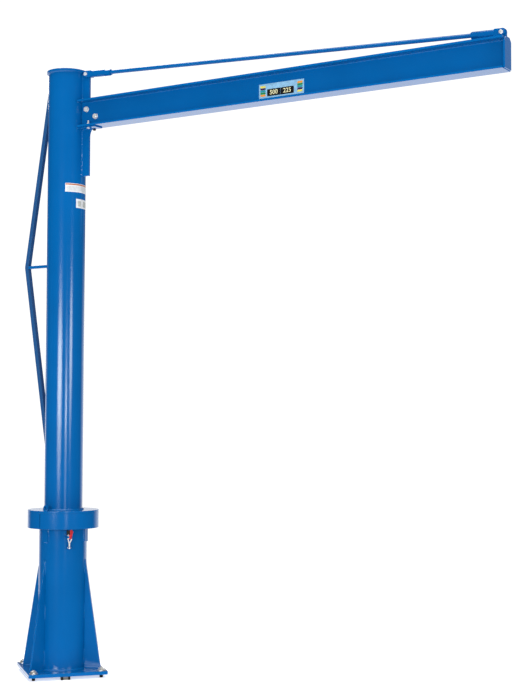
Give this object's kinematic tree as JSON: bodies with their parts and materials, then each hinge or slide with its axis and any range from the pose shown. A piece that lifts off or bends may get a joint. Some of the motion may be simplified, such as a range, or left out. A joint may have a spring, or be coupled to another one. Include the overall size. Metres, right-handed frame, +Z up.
{
  "type": "free-standing jib crane",
  "caption": "Free-standing jib crane: a pipe mast turns in a bolted base sleeve and carries an I-beam boom hung from a tie rod, with a rear truss and a swing lock.",
  "frame": {"origin": "middle of the base plate's underside, on the axis that the mast turns about", "axes": "+Z up along the mast, +X along the boom at rest, +Y to the boom's left"},
  "size_m": [3.048, 0.626, 3.452],
  "materials": {
    "blue_paint": "glossy enamel over steel, weld beads showing at the joints",
    "steel": "turned and zinc-plated steel",
    "bronze": "turned bronze, oiled",
    "rubber": "black moulded rubber",
    "red_grip": "dipped vinyl grip, slightly glossy"
  },
  "bodies": {
    "pedestal": {"base_plate": "blue_paint", "base_sleeve": "blue_paint", "gusset_a": "blue_paint", "gusset_b": "blue_paint", "gusset_c": "blue_paint", "gusset_d": "blue_paint", "roller_bracket_a": "blue_paint", "roller_bracket_b": "blue_paint", "roller_bracket_c": "blue_paint", "guide_rollers": "steel", "roller_pins": "steel", "pivot_pin": "steel", "thrust_washer": "bronze", "lock_bracket": "blue_paint", "lock_pin": "steel", "lock_guide": "blue_paint", "lock_stem": "steel", "lock_pad": "rubber"},
    "lock_handle": {"lock_lever": "steel", "lock_grip": "red_grip"},
    "mast": {"mast_foot": "blue_paint", "mast_tube": "blue_paint", "mast_cap": "blue_paint", "ring_plate": "blue_paint", "ring_band": "blue_paint", "tag_lug": "blue_paint", "truss_upper_bar": "blue_paint", "truss_lower_bar": "blue_paint", "truss_strut": "blue_paint", "boom_bracket": "blue_paint", "boom_seat": "blue_paint", "boom_beam": "blue_paint", "end_plate": "blue_paint", "end_lug": "blue_paint", "tie_rod": "blue_paint", "clevis_inner": "blue_paint", "clevis_outer": "blue_paint", "pin_inner": "steel", "pin_outer": "steel", "lock_nuts": "blue_paint"}
  },
  "joints": [
    {"name": "swing", "type": "hinge", "parent": "pedestal", "child": "mast", "pos_m": [0, 0, 0.03], "axis": [0, 0, 1], "continuous": true},
    {"name": "lock_turn", "type": "hinge", "parent": "pedestal", "child": "lock_handle", "pos_m": [0.12612, -0.09435, 0.708], "axis": [0.599, 0.8007, 0], "range_deg": [0, 75]}
  ]
}
